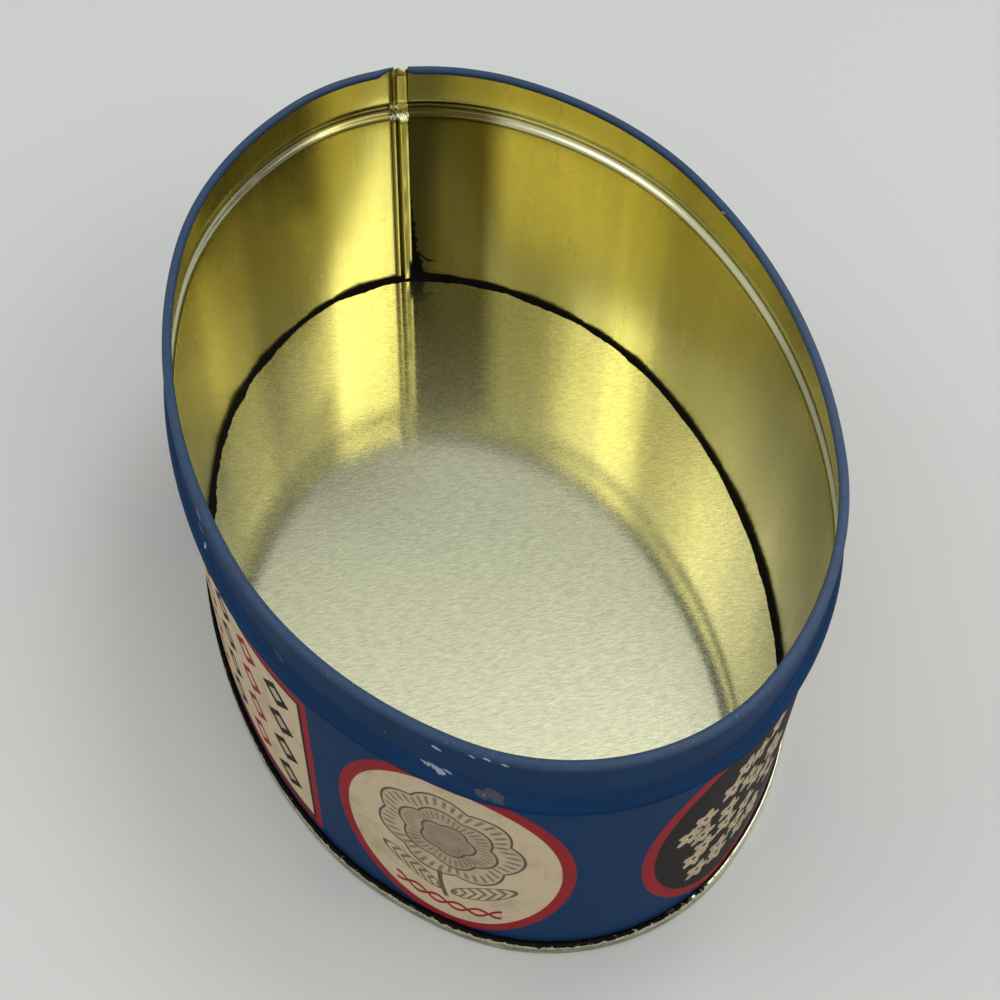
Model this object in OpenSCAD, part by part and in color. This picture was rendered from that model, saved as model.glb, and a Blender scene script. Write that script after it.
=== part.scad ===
// Open oval tin of folded tinplate, without a lid.
// The wall is one sheet: hooked into the bottom seam, beaded below the neck, curled in at the rim,
// and locked to itself by an upright seam at one narrow end.
// +X is the narrow end opposite the upright seam, Z = 0 is the plane the tin stands on.

/* [Oval outline] */
// Outside length of the wall
body_l = 160; // [140:1:180]
// Outside width of the wall
body_w = 107; // [102:0.5:112]
// Outside radius of the narrow ends
end_r = 37.5; // [35:0.5:40]

/* [Heights] */
// Standing plane to the top of the rim
tin_h = 58.5; // [40:0.5:120]
// Top of the rim down to the middle of the bead
neck_h = 10.2; // [7:0.1:16]
// Standing plane to the top of the bottom panel
panel_h = 3.2; // [2.9:0.1:6]

/* [Tinplate] */
// Thickness of the wall and the bottom
sheet_t = 0.24; // [0.2:0.01:0.3]

/* [Rim] */
// Outside diameter of the rolled rim
curl_d = 1.6; // [1.3:0.1:2.6]
// How far round the rim is rolled, in degrees
curl_turn = 290; // [200:5:300]

/* [Bead] */
// How far the bead stands out of the wall
bead_out = 1.2; // [0.6:0.1:1.6]
// Outside radius of the bead's crest
bead_r = 1.35; // [1:0.05:2]
// Outside radius where the wall turns into the bead
bead_fillet = 0.6; // [0.3:0.05:1]

/* [Upright seam] */
// Width of the locked seam
lock_w = 4; // [3:0.1:6]
// Width of its raised fold
lock_fold_w = 2.2; // [1.4:0.1:2.6]
// Width of the crease beside the fold
lock_crease_w = 0.4; // [0.2:0.05:0.6]
// Depth of the dip where the seam crosses the bead
lock_dip = 0.5; // [0.2:0.05:0.8]
// Width of the line that the seam leaves on the outside
lock_line_w = 0.5; // [0.2:0.05:0.8]
// Depth of that line
lock_line_d = 0.1; // [0.05:0.01:0.14]
// Width of the slit where the ends of the rolled rim meet
rim_slit_w = 0.4; // [0.2:0.05:0.8]

/* [Bottom seam] */
// Height of the double seam
seam_h = 3.1; // [2.7:0.1:4]
// How far the end of each hook stays short of the fold that it points into
hook_end_gap = 0.2; // [0.1:0.05:0.6]
// Outside radius of the seam's standing edge
foot_r = 0.45; // [0.35:0.05:0.6]
// Clearance between the folded layers
layer_gap = 0.03; // [0.02:0.01:0.1]
// Inside radius where the panel turns down along the wall
panel_bend = 0.65; // [0.4:0.05:0.8]

/* [Sealing compound] */
// Height of the compound on the wall, above the panel
seal_h = 0.5; // [0.3:0.1:1]
// Height of the smear beside the upright seam
smear_h = 12; // [8:0.5:16]
// Height of the smear's wide foot
smear_foot_h = 4.5; // [1:0.5:5]
// Width of the smear at its foot
smear_w = 1.6; // [1:0.1:2]
// Width of the smear above its foot
smear_tail_w = 0.6; // [0.3:0.1:0.9]
// Thickness of the smear
smear_t = 0.35; // [0.2:0.05:0.6]

/* [Hidden] */
$fn = 288;
bend_step = 15;

// The oval is eight arcs. Each quarter has an end arc, a middle arc and a side arc, which meet
// where the outline's normal has these directions. The radii grow from arc to arc by steps that are
// kept to a fine grid, so that centres and radii have few decimals and neighbours meet exactly.
end_joint_dir = [0.8, 0.6];
side_joint_dir = [0.28, 0.96];
mid_grid = 200;
side_grid = 40;
reach = [body_l / 2 - end_r, body_w / 2 - end_r];
joint_det = end_joint_dir.x * (1 - side_joint_dir.y) - side_joint_dir.x * (1 - end_joint_dir.y);
mid_more = on_grid((reach.x * (1 - side_joint_dir.y) - reach.y * side_joint_dir.x) / joint_det, mid_grid);
side_more = on_grid((reach.y * end_joint_dir.x - reach.x * (1 - end_joint_dir.y)) / joint_det, side_grid);
mid_r = end_r + mid_more;
side_r = mid_r + side_more;
end_c = [mid_more * end_joint_dir.x + side_more * side_joint_dir.x, 0];
mid_c = end_c - mid_more * end_joint_dir;
side_c = [0, mid_c.y - side_more * side_joint_dir.y];
half_l = end_c.x + end_r;

// The lines where arcs meet, drawn from inside the wall to outside it
joint_in = 10;
joint_out = 20;
end_joint = [for (s = [-joint_in, joint_out]) end_c + (end_r + s) * end_joint_dir];
side_joint = [for (s = [-joint_in, joint_out]) mid_c + (mid_r + s) * side_joint_dir];
end_wedge = [end_joint[0], end_joint[1], flip_y(end_joint[1]), flip_y(end_joint[0])];
mid_wedge = [end_joint[0], end_joint[1], side_joint[1], side_joint[0]];
side_wedge = [side_joint[0], side_joint[1], flip_x(side_joint[1]), flip_x(side_joint[0])];
core_half = [side_joint[0], end_joint[0], flip_y(end_joint[0]), flip_y(side_joint[0])];

// Layers of the double seam, as distances out of the wall's outer face
fold_r = layer_gap + sheet_t / 2;
hook_in_x = layer_gap + sheet_t / 2;
hook_out_x = hook_in_x + layer_gap + sheet_t;
seam_out_x = hook_out_x + layer_gap + sheet_t;
chuck_x = -sheet_t - layer_gap - sheet_t / 2;
seam_out = seam_out_x + sheet_t / 2;
foot_bend = foot_r - sheet_t / 2;
fold_z = 2 * sheet_t + layer_gap + fold_r;
seam_fold_z = seam_h - sheet_t - fold_r;
hook_len = seam_fold_z - fold_z - hook_end_gap;

// Bead: the wall turns out, round the crest and back
bead_z = tin_h - neck_h;
bead_reach = bead_r + bead_fillet;
bead_turn = acos((bead_reach - bead_out) / bead_reach);
bead_half = bead_reach * sin(bead_turn);
curl_z = tin_h - curl_d / 2;

// Panel: flat inside the bend that runs down along the wall
panel_mid_r = panel_bend + sheet_t / 2;
panel_bend_z = panel_h - sheet_t / 2 - panel_mid_r;
panel_edge_x = chuck_x - panel_mid_r;
panel_lap = 1;

// Upright seam: three layers of sheet inside the wall's own, and a filling behind it in the bead
lock_t = 3 * sheet_t;
lock_fill_x = -half_l - bead_out + sheet_t + sheet_t / 2;
lock_low = panel_h + seal_h;
lock_high = tin_h - curl_d;
fold_from = lock_w / 2 - lock_fold_w;
slit_x = -half_l + sheet_t + sheet_t / 2;

// How far a cutting shape runs past what it cuts
cut_past = 1;

function on_grid(value, per_mm) = round(value * per_mm) / per_mm;
function flip_x(p) = [-p.x, p.y];
function flip_y(p) = [p.x, -p.y];
function ahead(deg) = [cos(deg), sin(deg)];
function left_of(deg) = [-sin(deg), cos(deg)];

// Places along a folded sheet. A step of one number runs straight for that length, and a step of two
// bends by [radius, turn], to the left where the turn is positive.
function places(steps, at, deg, i = 0) =
    i == len(steps) ? [[at, deg]] :
    len(steps[i]) == 1 ?
        concat([[at, deg]], places(steps, at + steps[i][0] * ahead(deg), deg, i + 1)) :
        let (
            radius = sign(steps[i][1]) * steps[i][0],
            centre = at + radius * left_of(deg),
            count = ceil(abs(steps[i][1]) / bend_step),
            round_part = [
                for (k = [0 : count - 1])
                    let (d = deg + steps[i][1] * k / count)
                    [centre - radius * left_of(d), d]
            ],
            out_deg = deg + steps[i][1]
        )
        concat(round_part, places(steps, centre - radius * left_of(out_deg), out_deg, i + 1));

// Outline of a sheet of even thickness along its middle line
function sheet_outline(line) = concat(
    [for (p = line) p[0] + sheet_t / 2 * left_of(p[1])],
    [for (i = [len(line) - 1 : -1 : 0]) line[i][0] - sheet_t / 2 * left_of(line[i][1])]
);

// Sections are drawn with x as the distance out of the wall's outer face and y as the height.

// Wall: hook in the bottom seam, upright wall, bead, neck and rolled rim
module wall_section() {
    steps = [
        [hook_len],
        [fold_r + sheet_t / 2, -180],
        [bead_z - bead_half - fold_z],
        [bead_fillet + sheet_t / 2, -bead_turn],
        [bead_r - sheet_t / 2, 2 * bead_turn],
        [bead_fillet + sheet_t / 2, -bead_turn],
        [curl_z - bead_z - bead_half],
        [(curl_d - sheet_t) / 2, curl_turn]
    ];
    polygon(sheet_outline(places(steps, [hook_out_x, fold_z + hook_len], -90)));
}

// Bottom: hook behind the wall's hook, round the seam, under the wall, up inside it and onto the panel
module bottom_section() {
    steps = [
        [hook_len],
        [fold_r + sheet_t / 2, -180],
        [seam_fold_z - foot_r],
        [foot_bend, -90],
        [seam_out - foot_r - (chuck_x - sheet_t / 2 + foot_r)],
        [foot_bend, -90],
        [panel_bend_z - foot_r],
        [panel_mid_r, 90],
        [panel_lap]
    ];
    polygon(sheet_outline(places(steps, [hook_in_x, seam_fold_z - hook_len], 90)));
}

// Compound in the groove between the wall and the panel's bend, up to where the panel is flat
module compound_section() {
    count = ceil(90 / bend_step);
    bend_edge = [
        for (k = [1 : count])
            [panel_edge_x, panel_bend_z] - (panel_mid_r + sheet_t / 2) * left_of(90 + 90 * k / count)
    ];
    polygon(concat(
        [[-sheet_t, bend_edge[0].y]],
        bend_edge,
        [[-sheet_t, panel_h + seal_h]]
    ));
}

// The eight arcs in turn, as $centre, $radius and $wedge for what follows
module each_arc() {
    for (sx = [0, 1]) mirror([sx, 0, 0]) {
        let ($centre = end_c, $radius = end_r, $wedge = end_wedge) children();
        for (sy = [0, 1]) mirror([0, sy, 0])
            let ($centre = mid_c, $radius = mid_r, $wedge = mid_wedge) children();
    }
    for (sy = [0, 1]) mirror([0, sy, 0])
        let ($centre = side_c, $radius = side_r, $wedge = side_wedge) children();
}

// A section carried round the oval
module sweep_oval() {
    each_arc()
        intersection() {
            translate($centre) rotate_extrude() translate([$radius, 0]) children();
            translate([0, 0, -cut_past]) linear_extrude(tin_h + 2 * cut_past) polygon($wedge);
        }
}

// The flat area inside the oval, out to a distance from the wall's outer face
module oval_area(out) {
    each_arc()
        intersection() {
            translate($centre) circle($radius + out);
            polygon($wedge);
        }
    polygon(concat(core_half, [for (i = [3 : -1 : 0]) flip_x(core_half[i])]));
}

// Plan of the locked seam: one layer and a crease, then the raised fold with its sharp edge
module lock_plan() {
    back = -half_l + sheet_t / 2;
    face = -half_l + sheet_t;
    polygon([
        [back, -lock_w / 2],
        [face, -lock_w / 2],
        [face + sheet_t, -lock_w / 2 + sheet_t],
        [face + sheet_t, fold_from - lock_crease_w],
        [face + sheet_t / 2, fold_from - lock_crease_w / 2],
        [face + lock_t, fold_from + lock_crease_w],
        [face + lock_t, lock_w / 2 - sheet_t / 2],
        [face + lock_t - sheet_t / 2, lock_w / 2],
        [back, lock_w / 2]
    ]);
}

// The locked seam fills the bead behind it and dips where the bead was rolled across it
module lock_seam() {
    dip_r = bead_half;
    difference() {
        union() {
            translate([0, 0, lock_low]) linear_extrude(lock_high - lock_low) lock_plan();
            translate([lock_fill_x, -lock_w / 2, bead_z - bead_half / 2])
                cube([-half_l + sheet_t + lock_t / 2 - lock_fill_x, lock_w, bead_half]);
        }
        translate([-half_l + sheet_t + lock_t - lock_dip + dip_r, 0, bead_z])
            rotate([90, 0, 0]) cylinder(r = dip_r, h = lock_w + 2 * cut_past, center = true);
    }
}

// At the locked seam the rim is pressed flat inside and its two ends leave a slit
module rim_gap() {
    cut_z = tin_h - curl_d - sheet_t;
    translate([-half_l + curl_d / 2, -lock_w / 2, cut_z]) cube([curl_d, lock_w, curl_d + 2 * sheet_t]);
    translate([slit_x, lock_w / 2 - rim_slit_w, cut_z])
        cube([curl_d, rim_slit_w, curl_d + 2 * sheet_t]);
}

// Shallow line that the locked seam leaves outside, below the bead and on the neck
module lock_line() {
    runs = [[seam_h, bead_z - bead_half], [bead_z + bead_half, curl_z]];
    for (run = runs)
        translate([-half_l - cut_past, -lock_w / 2, run[0]])
            cube([cut_past + lock_line_d, lock_line_w, run[1] - run[0]]);
}

// Smear of compound up the wall, against the sharp edge of the locked seam
module smear() {
    intersection() {
        translate(flip_x(end_c)) rotate_extrude()
            translate([end_r - sheet_t - smear_t, panel_h + seal_h / 2]) square([smear_t, smear_h]);
        translate([-half_l, lock_w / 2, panel_h]) rotate([90, 0, 90]) linear_extrude(end_r / 2)
            polygon([
                [0, 0],
                [smear_w, 0],
                [smear_w, smear_foot_h],
                [smear_tail_w, smear_foot_h + smear_w],
                [smear_tail_w, smear_h - smear_tail_w],
                [0, smear_h]
            ]);
    }
}

module body_wall() {
    color("#2b4468")
        difference() {
            union() {
                sweep_oval() wall_section();
                lock_seam();
            }
            rim_gap();
            lock_line();
        }
}

module bottom_end() {
    color("#c9c7b4") {
        sweep_oval() bottom_section();
        translate([0, 0, panel_h - sheet_t]) linear_extrude(sheet_t) oval_area(panel_edge_x - panel_lap / 2);
    }
}

module seam_compound() {
    color("#15120f") {
        sweep_oval() compound_section();
        smear();
    }
}

body_wall();
bottom_end();
seam_compound();
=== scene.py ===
"""An open oval tin of folded tinplate: blue print outside, gold lacquer inside, bare tin at the bottom."""

import math
from functools import reduce

import bmesh
import bpy
import numpy as np
from bpy.props import FloatProperty, FloatVectorProperty, PointerProperty
from bpy.types import Operator, Panel, PropertyGroup
from mathutils import Matrix, Vector


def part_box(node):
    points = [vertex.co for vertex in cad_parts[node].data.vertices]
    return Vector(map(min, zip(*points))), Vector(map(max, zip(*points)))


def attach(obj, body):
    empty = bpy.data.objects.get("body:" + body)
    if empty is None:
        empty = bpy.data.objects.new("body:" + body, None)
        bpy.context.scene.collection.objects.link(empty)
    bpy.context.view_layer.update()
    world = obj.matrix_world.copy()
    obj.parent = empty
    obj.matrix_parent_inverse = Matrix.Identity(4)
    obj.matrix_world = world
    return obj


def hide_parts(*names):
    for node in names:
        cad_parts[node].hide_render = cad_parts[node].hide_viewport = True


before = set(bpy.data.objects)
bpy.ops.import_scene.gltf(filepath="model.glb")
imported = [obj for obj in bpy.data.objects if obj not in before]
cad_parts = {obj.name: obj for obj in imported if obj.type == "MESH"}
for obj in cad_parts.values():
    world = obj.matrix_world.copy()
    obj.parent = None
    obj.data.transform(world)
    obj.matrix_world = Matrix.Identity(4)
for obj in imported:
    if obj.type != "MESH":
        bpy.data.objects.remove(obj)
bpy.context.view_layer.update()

bl_info = {
    "name": "Oval Tin",
    "version": (1, 0, 0),
    "blender": (4, 5, 0),
    "location": "3D View > Sidebar > Oval Tin",
    "description": "Builds the looks of an open oval tin around its packed frame",
    "category": "Object",
}

MM = 0.001
BODY = "root"
WALL_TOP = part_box("body_wall")[1].z
PANEL_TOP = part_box("bottom_end")[1].z

# Slants of the outline's normal where the end, middle and side arcs meet
END_SLANT = math.atan2(0.6, 0.8)
SIDE_SLANT = 2 * END_SLANT

# Places on the wall are a length around it from the +X end, positive to +Y, and a height. The finishes
# take them, and all the sizes in these tables, in millimetres.

# Ornaments of the print: size, height of the middle and lengths around
OVAL_SIZE, OVAL_UP = (39.6, 45), 25.5
PALE_OVALS, DARK_OVALS = (-25.8, 143), (24, -145)
PANEL_SIZE, PANEL_UP = (65, 39), 24
PANELS = (-84, 83)
# Where the print is chipped to bare tin, and where it is rubbed brown: length around, height and size
CHIPS = (
    (-82.1, 56.1, 0.7), (-82.9, 52.0, 0.6), (-81.0, 50.1, 0.4), (-27.3, 55.9, 0.5), (-27.2, 50.6, 0.9),
    (-28.9, 50.7, 0.6), (-25.6, 50.9, 0.5), (-22.1, 57.3, 0.35), (-20.0, 57.7, 0.4), (-17.6, 57.4, 0.4),
    (64.0, 57.6, 0.4), (96.0, 49.0, 0.6), (131.0, 57.8, 0.4),
    (-121.0, 57.5, 0.5), (-160.0, 49.3, 0.6), (178.0, 50.0, 0.4),
)
WORN = ((-18.7, 49.6, 1.1), (-20.4, 49.4, 0.7), (-56.5, 51.2, 0.9), (112.0, 49.4, 1.2), (-136.0, 49.3, 1.0))
# Painted shade along the upright seam's folds: distance from its middle and half width
SHADED_FOLD_LINES = ((-1.75, 0.8), (-0.6, 0.45), (1.98, 0.6))
# Painted bright reflections in the lacquer: length around, half width and share
PAINTED_BRIGHT_BANDS = ((-208, 22, 1.0), (-158, 14, 0.5), (153, 10, 1.0), (138, 28, 0.45))
# Share of a line's or band's half width that has its full tone
BAND_CORE = 0.4
# Stretches of the wall, as a middle and its outer and inner half widths: the neck outside painted paler,
# a painted sheen; the bottom seam painted brighter, a painted highlight; and the lacquer painted darker at
# the right and in a wedge at the left, painted dark reflections
PAINTED_PALE_NECK = (75, 70, 20)
PAINTED_BRIGHT_SEAM = (70, 70, 35)
PAINTED_DARK_RIGHT = (84, 34, 14)
PAINTED_DARK_WEDGE = (-184, 12, 5)


def length(name, text, default):
    """A length that a user can change, in metres."""
    return FloatProperty(name=name, description=text, default=default, min=0, unit="LENGTH", precision=5)


def angle(name, text, degrees):
    """An angle that a user can change."""
    return FloatProperty(name=name, description=text, default=math.radians(degrees), subtype="ANGLE")


def colour(name, text, default):
    """A colour that a user can change, as linear light."""
    return FloatVectorProperty(
        name=name, description=text, default=default, size=3, min=0, max=1, subtype="COLOR"
    )


class TinSizes(PropertyGroup):
    """Sizes of the tin's folded sheets"""

    body_length: length("Length", "Outside length of the wall", 160 * MM)
    body_width: length("Width", "Outside width of the wall", 107 * MM)
    end_radius: length("End radius", "Outside radius of the narrow ends", 37.5 * MM)
    height: length("Height", "Standing plane to the top of the rim", WALL_TOP)
    panel_height: length("Panel height", "Standing plane to the top of the panel", PANEL_TOP)
    sheet: length("Sheet", "Thickness of the tinplate", 0.24 * MM)
    roll: length("Rim roll", "Outside diameter of the rolled rim", 1.6 * MM)
    roll_turn: angle("Rim turn", "How far round the rim is rolled", 290)
    neck: length("Neck", "Top of the rim down to the middle of the bead", 10.2 * MM)
    bead_out: length("Bead", "How far the bead stands out of the wall", 1.2 * MM)
    bead_radius: length("Bead radius", "Outside radius of the bead's crest", 1.8 * MM)
    bead_fillet: length("Bead fillet", "Outside radius where the wall turns into the bead", 1.2 * MM)
    seam_height: length("Bottom seam", "Height of the double seam", 3.1 * MM)
    foot_radius: length("Foot radius", "Outside radius of the seam's standing edge", 0.45 * MM)
    layer_gap: length("Layer gap", "Clearance between the folded layers", 0.03 * MM)
    hook_end_gap: length("Hook gap", "How far a hook stays short of the fold it points into", 0.2 * MM)
    panel_bend: length("Panel bend", "Inside radius where the panel turns down", 0.65 * MM)
    lock_width: length("Upright seam", "Width of the locked seam", 4 * MM)
    seal_height: length("Seal height", "Mean height of the compound on the wall", 0.5 * MM)
    seal_width: length("Seal width", "Mean width of the compound on the panel", 1.05 * MM)
    smear_height: length("Smear", "Height of the smear beside the upright seam", 22 * MM)
    press_rim: length("Press at the rim", "How far the +Y side is out of round at its rim", 0.7 * MM)
    press_foot: length("Press at the foot", "How far the +Y side is out of round at its foot", 1.9 * MM)
    press_left: length("Press at the left", "How far the -Y side is out of round at its foot", 0.8 * MM)


class TinColours(PropertyGroup):
    """Colours of the tin's finishes"""

    blue: colour("Blue", "Ground of the print", (0.006, 0.037, 0.112))
    blue_deep: colour("Deep blue", "Darker clouds in the ground of the print", (0.006, 0.033, 0.098))
    red: colour("Red", "Rings and borders of the print", (0.30, 0.018, 0.024))
    cream: colour("Cream", "Pale fields of the print", (0.62, 0.50, 0.33))
    brown: colour("Brown", "Dark fields of the print", (0.018, 0.015, 0.015))
    # Also darkens the print's foot, as grime and painted shade
    ink_and_shade: colour("Ink", "Thin lines of the print", (0.015, 0.012, 0.012))
    chip: colour("Chip", "Bare metal where the print is chipped", (0.46, 0.49, 0.54))
    # Worn pale print, and a painted sheen on the rim and the +Y side of the neck
    scuff_and_sheen: colour("Scuff", "Print rubbed pale along the rim", (0.19, 0.24, 0.30))
    worn: colour("Worn", "Print rubbed down to its brown primer", (0.12, 0.105, 0.095))
    sepia: colour("Sepia", "Drawn figures of the print", (0.075, 0.055, 0.045))
    # On the wall this gold is laid only in the painted bright bands; the upright seam has it all over
    gold: colour("Gold", "Lacquer on the inside", (0.85, 0.75, 0.25))
    dull_gold: colour("Dull gold", "Aged lacquer", (0.64, 0.565, 0.21))
    # Browned mottle and painted shade: dark reflections in the lacquer and lines along the seam's folds
    dark_lacquer_and_shade: colour("Browned", "Lacquer browned beside the upright seam", (0.085, 0.066, 0.014))
    # Also laid as painted highlights, in the wall's groove and along the bottom seam
    tin: colour("Tin", "Bare tinplate", (0.88, 0.895, 0.62))
    dull_tin: colour("Dull tin", "Weathered tinplate of the bottom seam", (0.20, 0.16, 0.12))
    rust: colour("Rust", "Rust on bare edges", (0.060, 0.030, 0.015))
    # Also laid in the bottom seam's crevice as grime and painted shade
    compound: colour("Compound", "Sealing compound", (0.004, 0.0035, 0.003))


class TinStage(PropertyGroup):
    """Floor, light and camera"""

    floor: colour("Floor", "Plain pale floor", (0.655, 0.665, 0.65))
    low_sky: colour("Low light", "Light from the sides", (0.50, 0.505, 0.50))
    high_sky: colour("High light", "Light from overhead", (1.0, 1.0, 0.98))
    shade: colour("Shade", "Dark places in the surroundings", (0.025, 0.025, 0.025))
    lens: FloatProperty(name="Lens", description="Focal length on a 36 mm sensor", default=52.9)
    eye: FloatVectorProperty(
        name="Eye",
        description="Place of the camera",
        default=(0.1682, -0.0448, 0.2280),
        subtype="TRANSLATION",
    )
    eye_turn: angle("Turn", "Camera's turn about the upright axis", 74.38)
    eye_tilt: angle("Tilt", "Camera's tilt up from straight down", 39.677)
    eye_roll: angle("Roll", "Camera's roll about its own axis", 2.271)


class Field:
    """A shader value. Arithmetic on it adds Math nodes to its finish."""

    def __init__(self, finish, socket):
        self.finish = finish
        self.socket = socket

    def __add__(self, other):
        return self.finish.math("ADD", self, other)

    def __radd__(self, other):
        return self.finish.math("ADD", other, self)

    def __sub__(self, other):
        return self.finish.math("SUBTRACT", self, other)

    def __rsub__(self, other):
        return self.finish.math("SUBTRACT", other, self)

    def __mul__(self, other):
        return self.finish.math("MULTIPLY", self, other)

    def __rmul__(self, other):
        return self.finish.math("MULTIPLY", other, self)

    def __truediv__(self, other):
        return self.finish.math("DIVIDE", self, other)

    def __rtruediv__(self, other):
        return self.finish.math("DIVIDE", other, self)

    def __abs__(self):
        return self.finish.math("ABSOLUTE", self)


class Finish:
    """The nodes of a material or of the surroundings, from coordinates to a shader."""

    def __init__(self, owner):
        owner.use_nodes = True
        self.owner = owner
        self.tree = owner.node_tree
        self.tree.nodes.clear()

    def node(self, kind, settings=None, sockets=None, output=0):
        """Adds a node: its settings first, then the values or links of its sockets."""
        made = self.tree.nodes.new(kind)
        for key, value in (settings or {}).items():
            setattr(made, key, value)
        for key, value in (sockets or {}).items():
            if isinstance(value, Field):
                self.tree.links.new(value.socket, made.inputs[key])
            else:
                made.inputs[key].default_value = value
        return Field(self, made.outputs[output])

    def math(self, operation, *values):
        return self.node("ShaderNodeMath", {"operation": operation}, dict(enumerate(values)))

    def vector_math(self, operation, first, second, output=0):
        return self.node("ShaderNodeVectorMath", {"operation": operation}, {0: first, 1: second}, output)

    def mix(self, share, first, second):
        """The first colour, with a share of the second laid over it."""
        sockets = {0: share, 6: opaque(first), 7: opaque(second)}
        return self.node("ShaderNodeMix", {"data_type": "RGBA"}, sockets, 2)

    def layers(self, ground, *coats):
        """A ground with coats laid over it in order, each a share and a colour."""
        return reduce(lambda under, coat: self.mix(coat[0], under, coat[1]), coats, ground)

    def attribute(self, name):
        return self.node("ShaderNodeAttribute", {"attribute_name": name}, output="Fac")

    def place(self, stretch=(1, 1, 1)):
        """The point on the object in millimetres, with each axis times its stretch."""
        point = self.node("ShaderNodeTexCoord", output="Object")
        return self.vector_math("MULTIPLY", point, [s / MM for s in stretch])

    def vector(self, x, y, z=0.0):
        return self.node("ShaderNodeCombineXYZ", sockets={0: x, 1: y, 2: z})

    def parts(self, vector):
        """The first two parts of a vector."""
        return [self.node("ShaderNodeSeparateXYZ", sockets={0: vector}, output=key) for key in "XY"]

    def polar(self, u, v):
        """Distance and slant of a place from the middle."""
        return self.math("SQRT", u * u + v * v), self.math("ARCTAN2", v, u)

    def spread(self, u, v, half):
        """How far out a place lies in an oval with these half sizes, squared: 1 on its edge."""
        across = u / half[0]
        upright = v / half[1]
        return across * across + upright * upright

    def noise(self, vector, scale, detail=2.0, roughness=0.5):
        sockets = {"Vector": vector, "Scale": scale, "Detail": detail, "Roughness": roughness}
        return self.node("ShaderNodeTexNoise", sockets=sockets)

    def ease(self, value, low, high):
        """0 where the value is at low, 1 where it is at high, and smooth between."""
        sockets = {"Value": value, "From Min": low, "From Max": high}
        return self.node("ShaderNodeMapRange", {"interpolation_type": "SMOOTHSTEP"}, sockets)

    def band(self, value, middle, outer, inner):
        """1 within the inner distance of a middle, 0 past the outer one, and smooth between."""
        return self.ease(abs(value - middle), outer, inner)

    def most(self, *values):
        return reduce(lambda one, other: self.math("MAXIMUM", one, other), values)

    def bump(self, height, depth, strength=1.0, under=None):
        """A normal raised by a height field whose full range is this deep, in metres."""
        sockets = {"Height": height, "Distance": depth, "Strength": strength}
        if under is not None:
            sockets["Normal"] = under
        return self.node("ShaderNodeBump", sockets=sockets)

    def shader(self, **sockets):
        """A Principled shader, with its sockets named in lower case."""
        named = {
            key.replace("_", " ").title().replace("Ior", "IOR"): value for key, value in sockets.items()
        }
        named["Base Color"] = opaque(named["Base Color"])
        return self.node("ShaderNodeBsdfPrincipled", sockets=named)

    def surface(self, **sockets):
        """Ends the material in a Principled shader."""
        return self.end("ShaderNodeOutputMaterial", self.shader(**sockets))

    def end(self, kind, shader):
        made = self.tree.nodes.new(kind)
        self.tree.links.new(shader.socket, made.inputs["Surface"])
        return self.owner


def opaque(value):
    """A colour with full alpha, or the link it already is."""
    return value if isinstance(value, Field) else (*value, 1.0)


def ease(value, low, high):
    """0 where the value is at low, 1 where it is at high, and smooth between."""
    share = np.clip((value - low) / (high - low), 0, 1)
    return share * share * (3 - 2 * share)


def band(value, middle, outer, inner):
    """1 within the inner distance of a middle, 0 past the outer one, and smooth between."""
    return ease(np.abs(value - middle), outer, inner)


def hump(value, start, full, fading, end):
    """Rises from 0 at the start to 1 where it is full, and falls to 0 again from fading to the end."""
    return ease(value, start, full) * ease(value, end, fading)


def ripple(along, loop, counts, seed):
    """A wave of mean 0 and height about 1 that closes on itself after a loop."""
    chance = np.random.default_rng(seed)
    phases = chance.uniform(0, 2 * math.pi, len(counts))
    waves = [np.sin(2 * math.pi * n * along / loop + p) for n, p in zip(counts, phases)]
    return np.sum(waves, 0) / math.sqrt(len(counts))


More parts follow.
